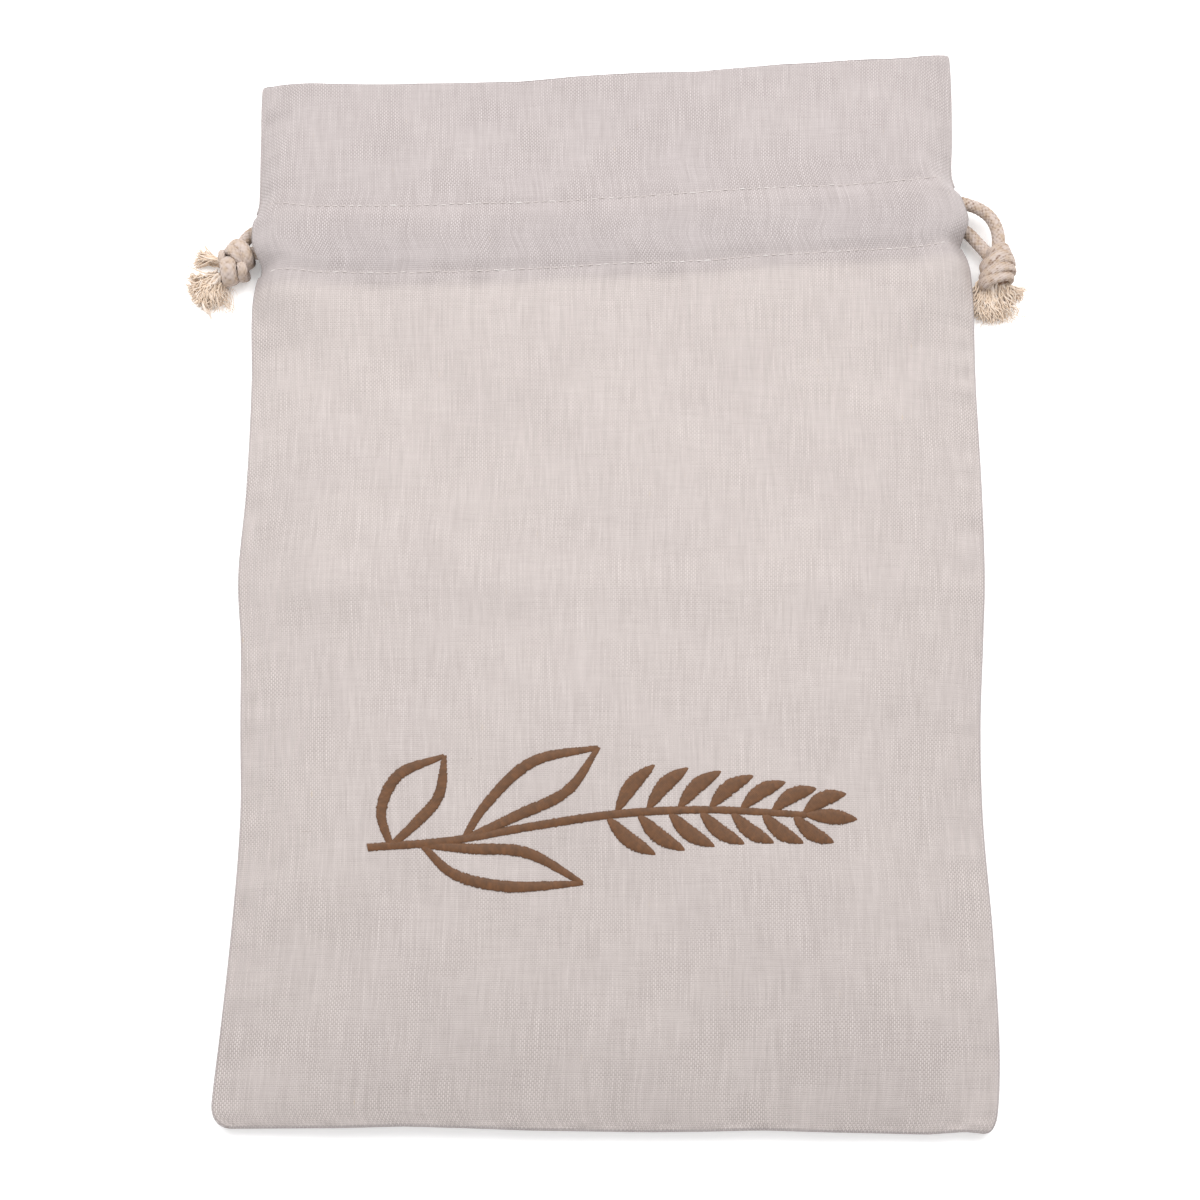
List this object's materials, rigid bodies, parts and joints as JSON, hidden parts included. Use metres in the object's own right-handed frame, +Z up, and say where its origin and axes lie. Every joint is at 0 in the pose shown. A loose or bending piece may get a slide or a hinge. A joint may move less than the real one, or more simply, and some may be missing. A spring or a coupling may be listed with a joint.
{
  "type": "linen bread bag",
  "caption": "Linen drawstring bread bag lying on its back, with a deep hemmed mouth, a sewn casing and knotted cotton drawcords with frayed ends.",
  "frame": {"origin": "on the surface the bag lies on, under the middle of the cloth", "axes": "+Y along the bag towards its mouth, +X to the right across it, +Z up from the back panel to the front panel"},
  "size_m": [0.3601, 0.453, 0.0208],
  "materials": {
    "linen": "matt plain weave with slubs",
    "cotton_cord": "matt braided cotton",
    "frayed_yarn": "matt loose cotton yarn",
    "white_thread": "matt sewing thread",
    "brown_thread": "satin embroidery thread"
  },
  "bodies": {
    "root": {"front_panel": "linen", "back_panel": "linen", "drawcord_right": "cotton_cord", "drawcord_left": "cotton_cord", "knot_right": "cotton_cord", "knot_left": "cotton_cord", "tassel_right": "frayed_yarn", "tassel_left": "frayed_yarn"}
  },
  "joints": []
}
